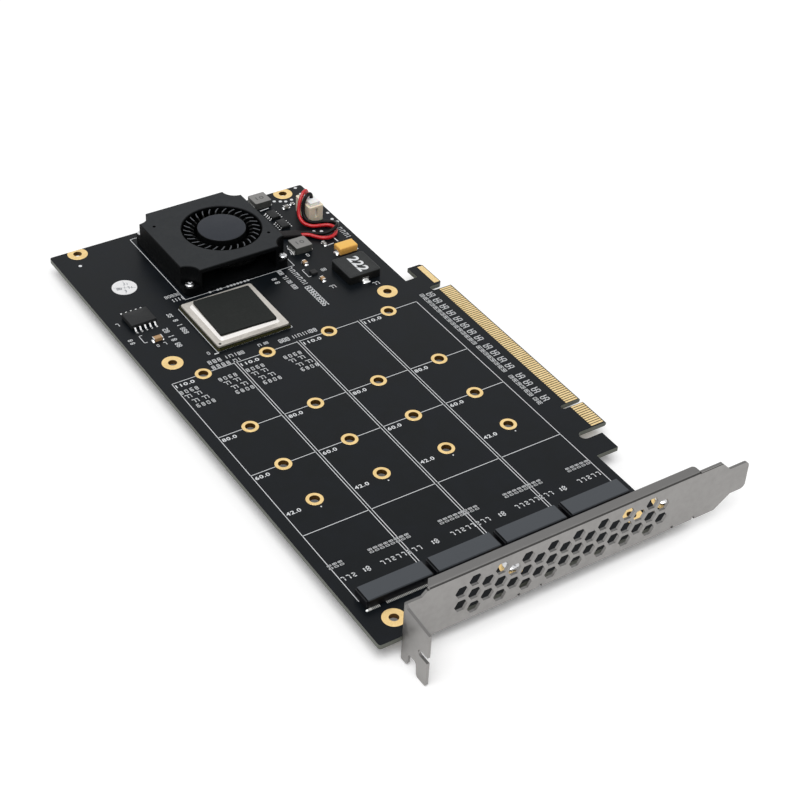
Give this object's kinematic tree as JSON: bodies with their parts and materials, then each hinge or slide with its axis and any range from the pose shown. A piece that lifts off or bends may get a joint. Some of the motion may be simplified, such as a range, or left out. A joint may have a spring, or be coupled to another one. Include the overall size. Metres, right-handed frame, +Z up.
{
  "type": "nvme adapter card",
  "caption": "Long expansion card with drive bays in a row, a chip under a metal lid, a small blower and a perforated slot bracket.",
  "frame": {"origin": "middle of the card's plan, on the surface that it lies on", "axes": "+X towards the edge contacts, +Y from the slot bracket to the blower's end, +Z up from the component side"},
  "size_m": [0.1256, 0.2232, 0.0225],
  "materials": {
    "solder_mask": "dark blue-black solder mask, satin",
    "gold": "gold plating on copper, satin",
    "bracket_steel": "nickel-plated sheet steel, satin",
    "screw_steel": "bright zinc-plated steel",
    "socket_plastic": "dark grey-blue moulded plastic",
    "tin": "tin plating",
    "substrate": "dark olive laminate",
    "lid_metal": "nickel-plated lid, satin",
    "pad_rubber": "dark grey thermal pad, matt",
    "fan_plastic": "black glass-filled plastic, matt",
    "inner_steel": "plain steel",
    "magnet": "dark bonded magnet",
    "bearing_brass": "sintered bronze",
    "driver_mask": "green solder mask",
    "copper_wire": "enamelled copper wire",
    "header_plastic": "beige nylon",
    "plug_plastic": "white nylon",
    "red_insulation": "red wire insulation",
    "black_insulation": "black wire insulation",
    "sleeve_rubber": "dark grey soft sleeve",
    "black_moulding": "black moulded epoxy",
    "grey_moulding": "grey moulded iron powder",
    "orange_moulding": "orange-yellow moulded epoxy",
    "ceramic_body": "brown ceramic",
    "sticker_paper": "white paper sticker"
  },
  "bodies": {
    "card": {"board": "solder_mask", "edge_contacts": "gold", "drive_pads": "gold", "mounting_pads": "gold", "bracket": "bracket_steel", "bracket_screws": "screw_steel", "switch_substrate": "substrate", "switch_lid": "lid_metal", "thermal_pad": "pad_rubber", "fan_housing": "fan_plastic", "fan_cover": "fan_plastic", "fan_bearing": "bearing_brass", "fan_driver_board": "driver_mask", "stator_core": "inner_steel", "stator_coils": "copper_wire", "fan_screws": "screw_steel", "fan_header": "header_plastic", "header_pins": "tin", "lead_plug": "plug_plastic", "fan_lead_red": "red_insulation", "fan_lead_black": "black_insulation", "lead_sleeve": "sleeve_rubber", "power_inductor": "black_moulding", "power_inductor_terminals": "tin", "small_inductors": "grey_moulding", "small_inductor_terminals": "tin", "tantalum_capacitor": "orange_moulding", "tantalum_terminals": "tin", "regulator_chips": "black_moulding", "regulator_leads": "tin", "memory_chip": "black_moulding", "memory_leads": "tin", "ceramic_capacitors": "ceramic_body", "capacitor_ends": "tin", "flat_chip": "black_moulding", "underside_capacitors": "ceramic_body", "sticker": "sticker_paper", "drive_socket_1": "socket_plastic", "socket_contacts_1": "tin", "drive_socket_2": "socket_plastic", "socket_contacts_2": "tin", "drive_socket_3": "socket_plastic", "socket_contacts_3": "tin", "drive_socket_4": "socket_plastic", "socket_contacts_4": "tin"},
    "impeller": {"impeller": "fan_plastic", "rotor_yoke": "inner_steel", "ring_magnet": "magnet", "fan_shaft": "inner_steel"}
  },
  "joints": [
    {"name": "impeller_spin", "type": "hinge", "parent": "card", "child": "impeller", "pos_m": [-0.00995, 0.08657, 0.0113], "axis": [0, 0, 1], "continuous": true}
  ]
}
